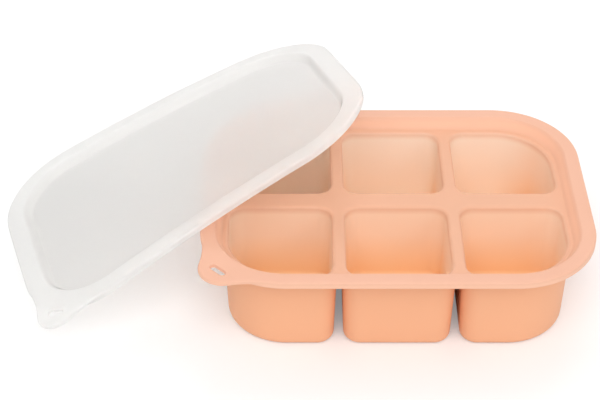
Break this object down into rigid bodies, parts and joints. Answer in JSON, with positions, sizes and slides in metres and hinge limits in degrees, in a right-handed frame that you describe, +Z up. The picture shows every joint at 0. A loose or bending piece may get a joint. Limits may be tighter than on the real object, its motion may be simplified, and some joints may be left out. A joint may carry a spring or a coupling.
{
  "type": "baby food freezer tray",
  "caption": "Soft silicone freezer tray with rounded cups under one rim, and a frosted lid with a sunken panel that is taken off and leans on the rim.",
  "frame": {"origin": "middle of the base of the front middle cup, on the surface that the tray stands on", "axes": "+X along the tray to the right as the picture shows it, +Y away from the front, +Z up"},
  "size_m": [0.3214, 0.2062, 0.1009],
  "materials": {
    "tray_silicone": "satin silicone, peach, slightly translucent",
    "lid_silicone": "matte silicone, frosted white, translucent"
  },
  "bodies": {
    "tray": {"tray": "tray_silicone"},
    "lid": {"lid": "lid_silicone"}
  },
  "joints": [
    {"name": "lid_lift", "type": "slide", "parent": "tray", "child": "lid", "axis": [0, 0, 1], "range_m": [0, 0.12]}
  ]
}
